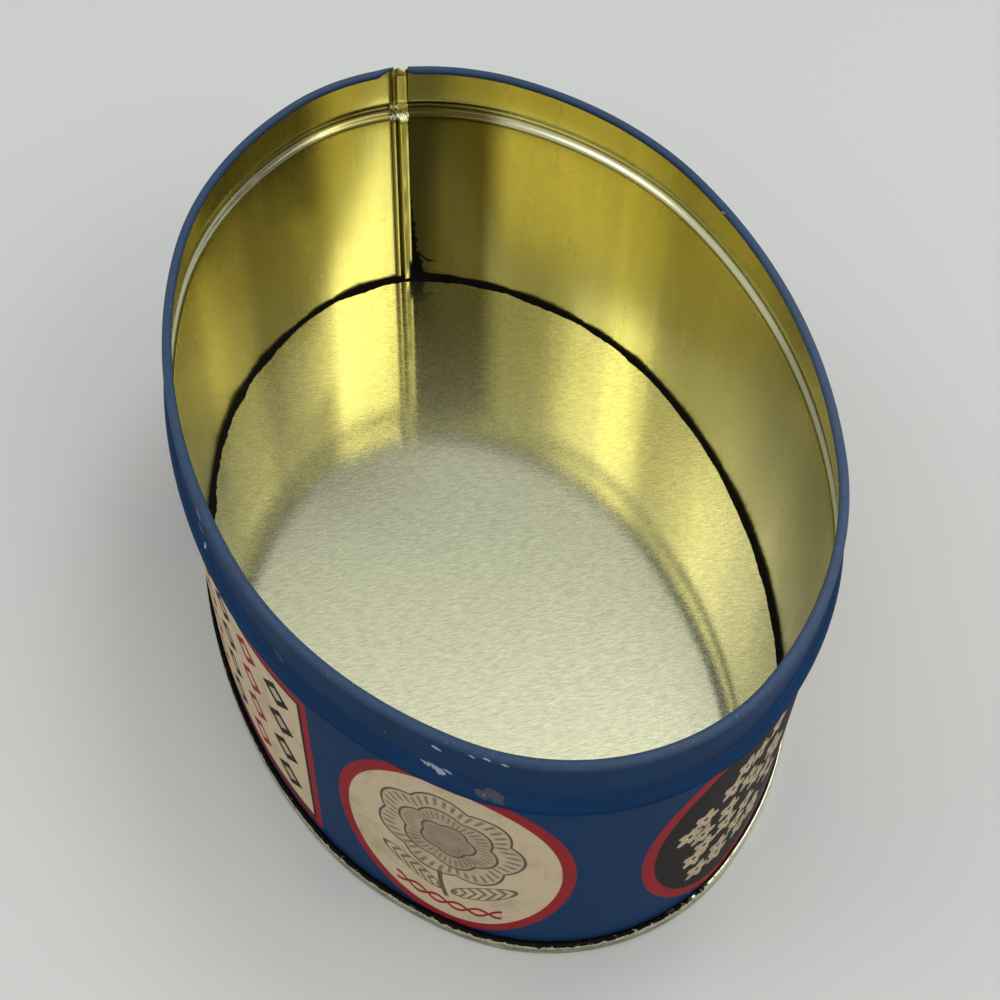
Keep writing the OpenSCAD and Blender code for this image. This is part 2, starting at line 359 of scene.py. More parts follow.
class Oval:
    """The wall's outline: eight arcs, an end, a middle and a side arc in each quarter."""

    # Slants in degrees where the press of a side starts, is full, fades and ends
    PRESSED_RIGHT = (40, 105, 150, 186)
    PRESSED_LEFT = (-125, -85, -70, -50)

    def __init__(self, sizes):
        reach_x = sizes.body_length / 2 - sizes.end_radius
        reach_y = sizes.body_width / 2 - sizes.end_radius
        end_dir = np.array([math.cos(END_SLANT), math.sin(END_SLANT)])
        side_dir = np.array([math.cos(SIDE_SLANT), math.sin(SIDE_SLANT)])
        share = end_dir[0] * (1 - side_dir[1]) - side_dir[0] * (1 - end_dir[1])
        mid_more = (reach_x * (1 - side_dir[1]) - reach_y * side_dir[0]) / share
        side_more = (reach_y * end_dir[0] - reach_x * (1 - end_dir[1])) / share
        self.sizes = sizes
        self.radii = sizes.end_radius + np.array([0, mid_more, mid_more + side_more])
        end_centre = np.array([reach_x, 0])
        mid_centre = end_centre - mid_more * end_dir
        self.centres = np.array([end_centre, mid_centre, mid_centre - side_more * side_dir])
        self.slants = np.array([0, END_SLANT, SIDE_SLANT, math.pi / 2])
        self.lengths = np.concatenate([[0], np.cumsum(self.radii * np.diff(self.slants))])
        self.half = 2 * self.lengths[-1]
        turns = np.linspace(-math.pi, math.pi, 7201)
        self.table = (self.around(turns), turns)

    def quarter(self, turn):
        """The normal's slant within its quarter, and the number of its arc."""
        slant = np.arctan2(np.abs(np.sin(turn)), np.abs(np.cos(turn)))
        return slant, np.searchsorted(self.slants[1:3], slant)

    def around(self, turn):
        """Length along the outline from the +X end, positive towards +Y."""
        slant, arc = self.quarter(turn)
        along = self.lengths[arc] + self.radii[arc] * (slant - self.slants[arc])
        along = np.where(np.abs(turn) > math.pi / 2, self.half - along, along)
        return np.copysign(along, turn)

    def turn(self, around):
        return np.interp(around, *self.table)

    def from_seam(self, around):
        """Signed distance along the outline from the upright seam, positive on its +Y side."""
        return np.where(around > 0, self.half - around, -self.half - around)

    def point(self, turn, out, up):
        """Places at a distance out of the outline, for arrays of one shape."""
        turn, out = np.broadcast_arrays(turn, out)
        out = out - self.dent(turn, up)
        arc = self.quarter(turn)[1]
        normal = np.stack([np.cos(turn), np.sin(turn)], -1)
        centre = self.centres[arc] * np.where(normal < 0, -1, 1)
        return centre + (self.radii[arc] + out)[..., None] * normal

    def dent(self, turn, up):
        """How far the sides are pressed in: the tin is a little out of round, most of all at its foot."""
        degrees = np.degrees(turn)
        sizes = self.sizes
        low = 1 - up / sizes.height
        right = sizes.press_rim + (sizes.press_foot - sizes.press_rim) * low
        left = sizes.press_left * low
        return hump(degrees, *self.PRESSED_RIGHT) * right + hump(degrees, *self.PRESSED_LEFT) * left

    def solid(self, turn, out, up):
        """Places in space, with turns down the first axis of the other two."""
        flat = self.point(turn[:, None], out, up)
        return np.concatenate([flat, np.broadcast_to(up, flat.shape[:2])[..., None]], -1)


def stations(oval, step, fine_step, fine_reach):
    """Lengths round the closed outline from the upright seam, closer together near it."""
    coarse_half = oval.half - fine_reach
    coarse = np.linspace(-coarse_half, coarse_half, round(2 * coarse_half / step) + 1)
    fine = np.linspace(coarse_half, oval.half, round(fine_reach / fine_step) + 1)[1:]
    return np.concatenate([-fine[::-1], coarse, fine[:-1]])


def folded_line(steps, start, heading, run=2 * MM, bend=math.radians(10)):
    """Middle line of a folded sheet: places, headings and the name of each place's step.

    A step is (name, length) or (name, radius, turn), turning left where the turn is positive.
    """
    at = np.array(start, float)
    places, headings, names = [at], [heading], [steps[0][0]]
    for name, size, *turns in steps:
        count = math.ceil(abs(turns[0]) / bend) if turns else math.ceil(size / run)
        first_at, first_heading = at, heading
        for k in range(1, count + 1):
            if turns:
                heading = first_heading + turns[0] * k / count
                radius = math.copysign(size, turns[0])
                at = first_at + radius * (left_of(first_heading) - left_of(heading))
            else:
                at = first_at + size * k / count * np.array([math.cos(heading), math.sin(heading)])
            places.append(at)
            headings.append(heading)
            names.append(name)
    return np.array(places), np.array(headings), np.array(names)


def left_of(heading):
    """The direction to the left of a heading, or of each of an array of headings."""
    return np.stack([-np.sin(heading), np.cos(heading)], -1)


def sheet_sides(line, sheet):
    """The right and left sides of a folded line, as distances out and heights."""
    places, headings, _ = line
    left = left_of(headings) * sheet / 2
    return places - left, places + left


def sheet_faces(keep, closed=False):
    """Corners of a thick sheet's faces, for a grid of cells that are kept or left out.

    The first side's corners are numbered row by row and the second side's follow. A closed sheet's last
    row of cells leads back to its first row of corners. Returns the faces and a part for each: 0 the
    first side, 1 the second side, 2 a cut edge.
    """
    rows = len(keep) + (not closed)
    columns = keep.shape[1] + 1
    first = np.arange(rows * columns).reshape(rows, columns)
    second = first + rows * columns

    def quads(*corners):
        return np.stack(corners, -1)

    i, j = np.nonzero(keep)
    after = (i + 1) % rows
    faces = [
        quads(first[i, j], first[after, j], first[after, j + 1], first[i, j + 1]),
        quads(second[i, j], second[i, j + 1], second[after, j + 1], second[after, j]),
    ]
    before = np.roll(keep, 1, 0) if closed else np.pad(keep, ((1, 0), (0, 0)))
    here = keep if closed else np.pad(keep, ((0, 1), (0, 0)))
    i, j = np.nonzero(before != here)
    faces.append(quads(first[i, j], first[i, j + 1], second[i, j + 1], second[i, j]))
    i, j = np.nonzero(np.pad(keep, ((0, 0), (1, 0))) != np.pad(keep, ((0, 0), (0, 1))))
    after = (i + 1) % rows
    faces.append(quads(first[i, j], first[after, j], second[after, j], second[i, j]))
    parts = np.repeat([0, 1, 2, 2], [len(f) for f in faces])
    return np.concatenate(faces), parts


def whole(sides, closed=False):
    """A grid that keeps all the cells between the corners of a sheet's sides."""
    rows, columns = sides[0].shape[:2]
    return np.ones((rows - (not closed), columns - 1), bool)


def both_sides(sides, around):
    """Points of a sheet's two sides, and the length around the outline at each."""
    points = np.concatenate([side.reshape(-1, 3) for side in sides])
    return points, np.tile(np.repeat(around, sides[0].shape[1]), 2)


def add_mesh(name, points, faces, parts, finishes, around=None, loop=0.0, sharp=35):
    """Makes an object from points and faces, with a finish for each part.

    Its finishes can read each corner's height, and its length around the outline where that is given,
    which starts again after a loop.
    """
    mesh = bpy.data.meshes.new(name)
    mesh.from_pydata(points.tolist(), [], faces.tolist())
    for finish in finishes:
        mesh.materials.append(finish)
    mesh.polygons.foreach_set("material_index", np.asarray(parts, np.int32))
    fields = {"up": points[faces, 2]}
    if around is not None:
        lengths = around[faces]
        crossing = np.ptp(lengths, 1, keepdims=True) > loop / 2
        fields["around"] = np.where(crossing & (lengths < 0), lengths + loop, lengths)
    for key, values in fields.items():
        layer = mesh.attributes.new(key, "FLOAT", "CORNER")
        layer.data.foreach_set("value", np.asarray(values / MM, np.float32).ravel())
    work = bmesh.new()
    work.from_mesh(mesh)
    bmesh.ops.remove_doubles(work, verts=work.verts, dist=1e-7)
    bmesh.ops.delete(work, geom=[e for e in work.edges if not e.link_faces], context="EDGES")
    bmesh.ops.delete(work, geom=[v for v in work.verts if not v.link_faces], context="VERTS")
    bmesh.ops.recalc_face_normals(work, faces=work.faces)
    work.to_mesh(mesh)
    work.free()
    mesh.shade_smooth()
    mesh.set_sharp_from_angle(angle=math.radians(sharp))
    return add_object(name, mesh)


def add_object(name, data):
    made = bpy.data.objects.new(name, data)
    bpy.context.scene.collection.objects.link(made)
    return made


def fit_out(piece, node):
    """Puts a piece in the place of a node of the frame."""
    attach(piece, BODY)
    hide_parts(node)


def seam_layers(sizes):
    """Where the layers of the double seam lie: distances out of the wall, and heights of its folds."""
    gap, sheet = sizes.layer_gap, sizes.sheet
    layers = {"fold": gap + sheet / 2, "hook_in": gap + sheet / 2}
    layers["hook_out"] = layers["hook_in"] + gap + sheet
    layers["outside"] = layers["hook_out"] + gap + sheet
    layers["chuck"] = -sheet - gap - sheet / 2
    layers["low"] = 2 * sheet + gap + layers["fold"]
    layers["high"] = sizes.seam_height - sheet - layers["fold"]
    layers["hook"] = layers["high"] - layers["low"] - sizes.hook_end_gap
    return layers


def bead_shape(sizes):
    """Height of the bead's middle, half its height and how far the wall turns into it."""
    reach = sizes.bead_radius + sizes.bead_fillet
    turn = math.acos((reach - sizes.bead_out) / reach)
    return sizes.height - sizes.neck, reach * math.sin(turn), turn


def wall_line(sizes):
    """Folded line of the wall, from its hook in the bottom seam to the end of its roll."""
    layers = seam_layers(sizes)
    sheet = sizes.sheet
    bead_at, bead_half, bead_turn = bead_shape(sizes)
    roll_at = sizes.height - sizes.roll / 2
    steps = [
        ("hook", layers["hook"]),
        ("fold", layers["fold"] + sheet / 2, -math.pi),
        ("wall", bead_at - bead_half - layers["low"]),
        ("bead", sizes.bead_fillet + sheet / 2, -bead_turn),
        ("bead", sizes.bead_radius - sheet / 2, 2 * bead_turn),
        ("bead", sizes.bead_fillet + sheet / 2, -bead_turn),
        ("neck", roll_at - bead_at - bead_half),
        ("roll", (sizes.roll - sheet) / 2, sizes.roll_turn),
    ]
    return folded_line(steps, (layers["hook_out"], layers["low"] + layers["hook"]), -math.pi / 2)


def bottom_line(sizes):
    """Folded line of the bottom, from its hook round the double seam to the flat panel."""
    layers = seam_layers(sizes)
    sheet, foot = sizes.sheet, sizes.foot_radius
    bend = sizes.panel_bend + sheet / 2
    outside = layers["outside"] + sheet / 2
    inside = layers["chuck"] - sheet / 2
    steps = [
        ("hook", layers["hook"]),
        ("fold", layers["fold"] + sheet / 2, -math.pi),
        ("seam", layers["high"] - foot),
        ("foot", foot - sheet / 2, -math.pi / 2),
        ("foot", outside - inside - 2 * foot),
        ("foot", foot - sheet / 2, -math.pi / 2),
        ("chuck", sizes.panel_height - sheet / 2 - bend - foot),
        ("bend", bend, math.pi / 2),
        ("panel", sheet),
    ]
    return folded_line(steps, (layers["hook_in"], layers["high"] - layers["hook"]), math.pi / 2)


def medallion(finish, colours, u, v, field, figures):
    """A red oval ring round a field with figures on it: its share of the print, and its colour."""
    ring_width = 2.1

    def inside(inset):
        half = [side / 2 - inset for side in OVAL_SIZE]
        return finish.ease(finish.spread(u, v, half), 1.012, 0.988)

    ground = finish.layers(field, *[(figure(finish, u, v), shade) for figure, shade in figures])
    return inside(0.0), finish.mix(inside(ring_width), colours.red, ground)


def flower(finish, u, v):
    """A drawn flower: three rings of hatched petals on a stem with two veined leaves."""
    head_up, stem_at, stem_half = 5, -10, 4
    leaf_at, leaf_rise, leaf_half = (6, -12), 0.55, (5.4, 2.2)
    # How far a ring of petals reaches, how deep its waves are, its petals and where the first one starts
    rings = ((10.5, 1.6, 7, 0.3), (7.0, 1.2, 6, 1.0), (3.8, 0.8, 5, 0.2))
    far, slant = finish.polar(u, v - head_up)
    drawn = []
    for reach, wave, count, phase in rings:
        edge = far - reach - wave * abs(finish.math("COSINE", slant * (count / 2) + phase))
        outline = finish.ease(abs(edge), 0.34, 0.14)
        hatch = finish.math("SINE", slant * 44 + far * 0.6)
        shaded = finish.ease(hatch, -0.1, 0.5) * finish.band(edge, -1.7, 1.7, 0.6)
        wash = finish.ease(edge, 0.1, -0.1) * (0.75 - reach * 0.055)
        drawn += [outline, shaded * 0.75, wash]
    stem_off = u - finish.math("SINE", v * 0.22) * 1.2
    stem = finish.ease(abs(stem_off), 0.55, 0.3) * finish.band(v, stem_at, stem_half + 0.2, stem_half - 0.2)
    leaf_u = abs(u) - leaf_at[0]
    leaf_v = v - leaf_at[1] - abs(u) * leaf_rise
    leaf = finish.spread(leaf_u, leaf_v, leaf_half)
    veins = finish.ease(finish.math("SINE", leaf_u * 4 + abs(leaf_v) * 3), 0.0, 0.5)
    veined = finish.ease(leaf, 1.05, 0.95) * finish.most(veins * 0.8, finish.ease(leaf, 0.72, 0.86))
    return finish.most(*drawn, stem, veined) * 0.9


def ribbon(finish, u, v):
    """A twisted ribbon below the flower."""
    ribbon_up, ribbon_half, curve, twist, wave = -16.2, 9.0, 0.02, 0.9, 1.1
    strands = []
    for phase in (0, math.pi):
        strand = v - ribbon_up - u * u * curve - wave * finish.math("SINE", u * twist + phase)
        strands.append(finish.ease(abs(strand), 0.55, 0.3))
    return finish.most(*strands) * finish.ease(abs(u), ribbon_half + 0.2, ribbon_half)


def bouquet(finish, u, v):
    """A spray of small five-petalled blossoms with veined petals."""
    per_mm, count = 0.19, 5
    spray_half = (per_mm * 13.5, per_mm * 16.5)
    place = finish.vector(u * per_mm, v * per_mm)
    sockets = {"Vector": place, "Scale": 1.0, "Randomness": 0.75}
    middle = finish.node("ShaderNodeTexVoronoi", {"voronoi_dimensions": "2D"}, sockets, "Position")
    far, slant = finish.polar(*finish.parts(finish.vector_math("SUBTRACT", place, middle)))
    edge = 0.40 + 0.10 * finish.math("COSINE", slant * count)
    petals = finish.ease(far - edge, 0.02, -0.02) * finish.ease(far, 0.07, 0.11)
    veins = finish.ease(finish.math("SINE", slant * (5 * count)), 0.2, 0.6) * finish.ease(far, 0.12, 0.2)
    in_spray = finish.ease(finish.spread(*finish.parts(middle), spray_half), 1.02, 0.98)
    return petals * (1 - veins * 0.55) * in_spray


def lozenge_panel(finish, colours, u, v):
    """A bordered panel of lozenges, red and dark by turns: its share of the print, and its colour."""
    cell_wide, cell_tall = 9.6, 8.2
    red_border, dark_line, field_inset = 1.5, 2.2, 3.4

    def inside(inset):
        across = finish.ease(abs(u) - (PANEL_SIZE[0] / 2 - inset), 0.12, -0.12)
        return across * finish.ease(abs(v) - (PANEL_SIZE[1] / 2 - inset), 0.12, -0.12)

    cell_u = abs(finish.math("PINGPONG", u, cell_wide) / cell_wide - 0.5)
    cell_v = abs(finish.math("PINGPONG", v, cell_tall) / cell_tall - 0.5)
    odd = finish.ease(finish.math("PINGPONG", u + cell_wide / 2, cell_wide) / cell_wide, 0.49, 0.51)
    field = inside(field_inset)
    lozenge = finish.ease(cell_u + cell_v, 0.40, 0.385) * field
    heart = finish.ease(cell_u + cell_v, 0.20, 0.185)
    ground = finish.layers(
        colours.cream,
        (lozenge, colours.red),
        (heart * field, colours.cream),
        (lozenge * odd, colours.ink_and_shade),
        (heart * odd * 0.8, colours.cream),
    )
    ground = finish.mix(inside(dark_line), colours.ink_and_shade, ground)
    return inside(0.0), finish.mix(inside(red_border), colours.red, ground)


def marks(finish, around, up, ragged, places):
    """Ragged slanted strokes at lengths around the wall and heights, each with a size."""
    slant, long_half, short_half = 0.35, 1.7, 0.65
    spots = []
    for at_around, at_up, size in places:
        off_around = around - at_around
        off_up = up - at_up
        along = off_around - slant * off_up
        across = off_up + slant * off_around
        stroke = finish.spread(along, across, (long_half * size, short_half * size))
        spots.append(finish.ease(stroke + ragged, 1.0, 0.7))
    return finish.most(*spots)


def print_finish(colours, sizes):
    """Blue print on tinplate, with medallions and panels, chips at the edges and a painted sheen at the top,
    with grime and painted shade below.
    """
    finish = Finish(bpy.data.materials.new("blue_print"))
    around = finish.attribute("around")
    up = finish.attribute("up")
    place = finish.place()
    top = sizes.height / MM
    bead_at = bead_shape(sizes)[0] / MM

    pale = colours.cream, ((flower, colours.sepia), (ribbon, colours.red))
    dark = colours.brown, ((bouquet, colours.cream),)
    ornaments = [lozenge_panel(finish, colours, around - at, up - PANEL_UP) for at in PANELS]
    for ovals, drawing in ((PALE_OVALS, pale), (DARK_OVALS, dark)):
        ornaments += [medallion(finish, colours, around - at, up - OVAL_UP, *drawing) for at in ovals]

    clouds = finish.ease(finish.noise(place, 0.06, 3), 0.35, 0.7)
    fine = finish.noise(place, 0.9, 5, 0.7)
    stains = finish.noise(place, 0.16, 4, 0.65)
    age = finish.ease(fine, 0.50, 0.85) * 0.3 + finish.ease(stains, 0.48, 0.72) * 0.22
    # Grime and painted shade: the print darkened just above the bottom seam
    foot = finish.ease(up + 1.6 * finish.noise(place, 0.6, 4), 4.4, 3.9)
    ragged = (finish.noise(place, 2.4, 4, 0.75) - 0.5) * 3.4
    worn = marks(finish, around, up, ragged, WORN)
    # Scuffs and a painted sheen: the rim roll lighter along its top, speckled
    rim_scuff_and_sheen = finish.ease(up, top - 1.5, top - 0.2) * (0.4 + fine)
    # Painted sheen: the neck outside painted paler on the +Y side
    pale_neck_sheen = finish.ease(up, top - 9, top - 2) * finish.band(around, *PAINTED_PALE_NECK)
    on_edge = finish.ease(up, top - 0.9, top - 0.3)
    specks = finish.ease(finish.noise(place, 1.3, 3, 0.6) + on_edge * 0.03, 0.745, 0.765)
    chips = finish.most(specks, marks(finish, around, up, ragged, CHIPS))
    paint = finish.layers(
        colours.blue,
        (clouds, colours.blue_deep),
        *ornaments,
        (age, colours.ink_and_shade),
        (foot, colours.ink_and_shade),
        (worn * 0.55, colours.worn),
        (rim_scuff_and_sheen * 0.22 + pale_neck_sheen * 0.10, colours.scuff_and_sheen),
        (chips * 0.8, colours.chip),
    )
    # The coat leaves out the bead's lower edge, whose print is rubbed matt
    bead_edge = bead_at - 1.3
    off_bead = finish.ease(abs(up - bead_edge), 0.9, 2.4)
    orange_peel = finish.noise(place, 1.6, 2)
    return finish.surface(
        base_color=paint,
        metallic=chips * 0.3,
        roughness=0.36 + 0.16 * finish.noise(place, 0.35, 4, 0.6) + worn * 0.2,
        specular_IOR_level=0.0,
        coat_weight=off_bead * 0.2,
        coat_roughness=0.3,
        normal=finish.bump(orange_peel - chips * 0.6, 0.02 * MM, 0.25),
    )


def wall_gold(finish, colours, gold, mottle, around, up, bead_at):
    """Wall lacquer: painted bright reflections on a duller ground, a painted tin highlight in the groove,
    a darker groove near the seam and painted dark reflections.
    """
    # Painted highlights: brighter gold laid in bands where the lacquer shows bright reflections
    bright = [finish.band(around, at, wide, wide * BAND_CORE) * share for at, wide, share in PAINTED_BRIGHT_BANDS]
    dull = finish.mix(mottle * 0.5, colours.dull_gold, colours.dark_lacquer_and_shade)
    groove = finish.band(up, bead_at, 2.8, 1.4)
    # Painted highlight: bright tin laid in the groove all round but near the seam, more of it at the left
    worn = finish.ease(abs(around), 204, 180) * (0.7 + 0.2 * finish.ease(around, -110, -135))
    # The groove darker near the upright seam
    dark_groove = finish.ease(abs(around), 190, 204) * 0.75
    neck = finish.ease(up, bead_at + 2, bead_at + 3)
    # Painted dark reflection of the camera: lacquer right of the upright seam darkened, less so above the
    # bead
    seam_dark_reflection = finish.ease(around, 187, 195) * (0.92 - 0.6 * finish.ease(up, bead_at - 1, bead_at + 1))
    # Painted dark reflections: lacquer darkened at the right and at two places left of the upright seam
    right_dark_reflection = finish.band(around, *PAINTED_DARK_RIGHT) * 0.42
    left_dark_reflection = finish.band(around, 5 * neck - 178, 13 + 13 * neck, 4 + 8 * neck) * (0.4 + 0.15 * neck)
    wedge_dark_reflection = finish.band(around, *PAINTED_DARK_WEDGE) * finish.ease(up, 24, 36) * 0.55
    return finish.layers(
        dull,
        (finish.most(*bright), gold),
        (groove * worn, colours.tin),
        (groove * dark_groove, colours.dark_lacquer_and_shade),
        (finish.most(seam_dark_reflection, right_dark_reflection, left_dark_reflection, wedge_dark_reflection), colours.dark_lacquer_and_shade),
    )


def seam_gold(finish, colours, gold, tarnish, aside, up, bead_at):
    """Lacquer of the upright seam: painted shade along its folds, darker at its top, tin at the bead,
    compound at its foot.
    """
    # Painted shade: dark lines along the folds' creases and edges
    lines = [finish.band(aside, at, wide, wide * BAND_CORE) for at, wide in SHADED_FOLD_LINES]
    # Darker at the top of the seam, under the rim
    rim = finish.ease(up, bead_at + 8.6, bead_at + 9.4) * 0.7
    flaked = finish.ease(finish.noise(finish.place(), 2.0, 3), 0.42, 0.52)
    crushed = finish.band(up, bead_at - 0.6, 2.0, 1.5) * flaked
    blot = finish.ease(aside + tarnish, 1.3, 1.6) * finish.ease(up + 5 * tarnish, 13, 10)
    return finish.layers(
        gold,
        (finish.most(*lines, rim) * 0.9, colours.dark_lacquer_and_shade),
        (crushed, colours.tin),
        (blot, colours.compound),
    )


def lacquer_finish(colours, bead_at, seam_at=None):
    """Gold lacquer on bright tin, streaked upright and finely pitted: the wall's, or the upright seam's."""
    finish = Finish(bpy.data.materials.new("gold_lacquer"))
    around = finish.attribute("around")
    up = finish.attribute("up")
    place = finish.place()
    streaks = finish.noise(finish.vector(around * 0.9, up * 0.03), 1.0, 4, 0.6)
    clouds = finish.noise(place, 0.05, 2)
    tarnish = finish.noise(place, 0.5, 5, 0.7)
    mottle = finish.ease(clouds, 0.3, 0.75) * 0.2 + finish.ease(tarnish, 0.45, 0.8) * 0.25
    gold = finish.mix(mottle, colours.gold, colours.dull_gold)
    if seam_at is None:
        gold = wall_gold(finish, colours, gold, mottle, around, up, bead_at)
    else:
        gold = seam_gold(finish, colours, gold, tarnish, seam_at - around, up, bead_at)
    pits = finish.ease(finish.noise(place, 2.2, 2), 0.725, 0.75)
    wave = finish.noise(finish.vector(around * 0.16, up * 0.02), 1.0, 2)
    grain = finish.noise(place, 3.0, 2)
    waved = finish.bump(wave, 0.5 * MM, 0.10)
    return finish.surface(
        base_color=finish.mix(pits * 0.7, gold, colours.rust),
        metallic=1.0,
        roughness=0.15 + 0.12 * streaks + 0.08 * tarnish + pits * 0.3,
        normal=finish.bump(streaks + grain * 0.5, 0.02 * MM, 0.3, waved),
    )


def tin_finish(colours, name="bare_tin"):
    """Rolled tinplate: fine grain along Y, a mirror between its scratches."""
    finish = Finish(bpy.data.materials.new(name))
    grain = finish.noise(finish.place((3.4, 0.5, 1.0)), 1.0, 4, 0.7)
    broad = finish.noise(finish.place((0.12, 0.03, 0.1)), 1.0, 3)
    fleck = finish.noise(finish.place((7.0, 1.6, 1.0)), 1.0, 2)
    scratched = tuple(c * 0.70 for c in colours.tin)
    tone = finish.mix(finish.ease(grain, 0.3, 0.7), scratched, colours.tin)
    normal = finish.bump(grain, 0.03 * MM, 0.28)
    crisp = finish.shader(base_color=tone, metallic=1.0, roughness=0.03 + 0.05 * grain, normal=normal)
    hazy = finish.shader(base_color=tone, metallic=1.0, roughness=0.36, normal=normal)
    haze = 0.16 + 0.14 * broad + 0.24 * finish.ease(fleck, 0.45, 0.7)
    mixed = finish.node("ShaderNodeMixShader", sockets={0: haze, 1: crisp, 2: hazy})
    return finish.end("ShaderNodeOutputMaterial", mixed)


def seam_finish(colours, sizes):
    """Bare tin of the double seam, with rust, grime and painted shade where it meets the wall,
    and painted highlights along its top and on its +Y side.
    """
    finish = Finish(bpy.data.materials.new("seam_tin"))
    around = finish.attribute("around")
    up = finish.attribute("up")
    place = finish.place()
    top = sizes.seam_height / MM
    spots = finish.noise(place, 0.9, 5, 0.7)
    # Painted highlight: the seam brighter on its +Y side, with less dark in its crevice there
    bright_side = finish.band(around, *PAINTED_BRIGHT_SEAM)
    level = up + 3.4 * (spots - 0.5) - bright_side * 1.1
    # Grime and painted shade: the crevice where the seam meets the wall laid nearly black
    crevice = finish.ease(level, top - 0.70, top - 0.5)
    rusty = finish.ease(spots + finish.ease(up, 0.7, 0.2) * 0.05, 0.60, 0.68)
    brushed = finish.noise(finish.vector(around * 0.25, up * 3), 1.0, 4, 0.6)
    # Brushed streaks, polished brighter on the +Y side as a painted highlight
    polished = finish.ease(brushed + bright_side * 0.12, 0.36, 0.72)
    bright_side_top = bright_side * finish.ease(up, top - 1.4, top - 0.7)
    # Painted highlight: a bright line along the seam's top edge, just under the crevice
    lip = finish.most(finish.band(level, top - 0.95, 0.35, 0.1), bright_side_top)
    tone = finish.layers(
        colours.dull_tin,
        (polished * 0.6, colours.tin),
        (lip * 0.8, colours.tin),
        (rusty * 0.8, colours.rust),
        (crevice, colours.compound),
    )
    dull = finish.most(rusty, crevice)
    height = brushed * 0.3 + dull * finish.noise(place, 4.0, 3)
    return finish.surface(
        base_color=tone,
        metallic=1 - dull,
        roughness=0.24 + 0.14 * brushed + dull * 0.4,
        specular_IOR_level=0.1,
        normal=finish.bump(height, 0.05 * MM, 0.6),
    )


def compound_finish(colours):
    """Black sealing compound, dull and slightly lumpy."""
    finish = Finish(bpy.data.materials.new("sealing_compound"))
    lumps = finish.noise(finish.place(), 1.4, 4, 0.6)
    return finish.surface(
        base_color=finish.mix(finish.ease(lumps, 0.55, 0.9) * 0.4, colours.compound, colours.rust),
        roughness=0.42 + 0.3 * lumps,
        specular_IOR_level=0.06,
        normal=finish.bump(lumps, 0.12 * MM, 0.6),
    )


def floor_finish(stage):
    """Plain pale board with the faintest grain."""
    finish = Finish(bpy.data.materials.new("pale_floor"))
    cloud = finish.noise(finish.place(), 0.01, 3)
    tone = finish.mix(cloud * 0.06, stage.floor, tuple(c * 0.85 for c in stage.floor))
    return finish.surface(base_color=tone, roughness=0.75, specular_IOR_level=0.2)


class TIN_OT_wall(Operator):
    """Adds the wall: one sheet with its hook, bead, neck and rolled rim"""

    bl_idname = "tin.wall"
    bl_label = "Wall"

    # Depth of the faint dents, and the heights where they start, are full, fade and end
    DENT = 0.02 * MM
    DENTED = (6 * MM, 14 * MM, 36 * MM, 45 * MM)
    # Depth of the line pressed in beside the upright seam, and its half widths at its mouth and its floor
    LINE_DEPTH = 0.1 * MM
    LINE_HALVES = (0.3 * MM, 0.15 * MM)
    # Middle and half width of the gap in the roll, from the upright seam's middle
    GAP_AT = 0.6 * MM
    GAP_HALF = 1.4 * MM
    # On each side of the seam: where the roll starts to widen, where it is whole, and its share at the seam
    SQUEEZED_LEFT = (0.8 * MM, 5 * MM, 0.3)
    SQUEEZED_RIGHT = (1.5 * MM, 4 * MM, 0.75)

    def execute(self, context):
        sizes, colours = context.scene.tin_sizes, context.scene.tin_colours
        oval = Oval(sizes)
        around = stations(oval, step=1 * MM, fine_step=0.15 * MM, fine_reach=6 * MM)
        turn = oval.turn(around)
        aside = oval.from_seam(around)
        line = wall_line(sizes)
        names = line[2]
        waves = self.DENT * ripple(around, 2 * oval.half, (5, 9, 14, 23), 3)[:, None]
        pressed = self.LINE_DEPTH * band(aside, SHADED_FOLD_LINES[0][0] * MM, *self.LINE_HALVES)[:, None]
        sides = []
        for side in sheet_sides(line, sizes.sheet):
            out, up = self.squeezed_roll(sizes, side, names == "roll", aside)
            dents = waves * hump(side[:, 1], *self.DENTED) * (names == "wall")
            out = out + dents - pressed * np.isin(names, ("wall", "neck"))
            sides.append(oval.solid(turn, out, up))
        gap = (np.abs(aside - self.GAP_AT) < self.GAP_HALF)[:, None] & (names[1:] == "roll")[None, :]
        faces, parts = sheet_faces(~gap, closed=True)
        points, lengths = both_sides(sides, around)
        finishes = [
            print_finish(colours, sizes),
            lacquer_finish(colours, bead_shape(sizes)[0] / MM),
            tin_finish(colours, "cut_edge"),
        ]
        piece = add_mesh("wall", points, faces, parts, finishes, lengths, 2 * oval.half)
        fit_out(piece, "body_wall")
        return {"FINISHED"}

    def squeezed_roll(self, sizes, side, rolled, aside):
        """Distances and heights of a side, with the roll pressed flat beside the upright seam."""
        shares = []
        for off, (start, end, least) in ((-aside, self.SQUEEZED_LEFT), (aside, self.SQUEEZED_RIGHT)):
            shares.append(least + (1 - least) * ease(off, start, end))
        loose = np.where(aside < 0, *shares)[:, None]
        anchor = np.array([-sizes.sheet / 2, sizes.height])
        return [np.where(rolled, at + (side[:, k] - at) * loose, side[:, k]) for k, at in enumerate(anchor)]


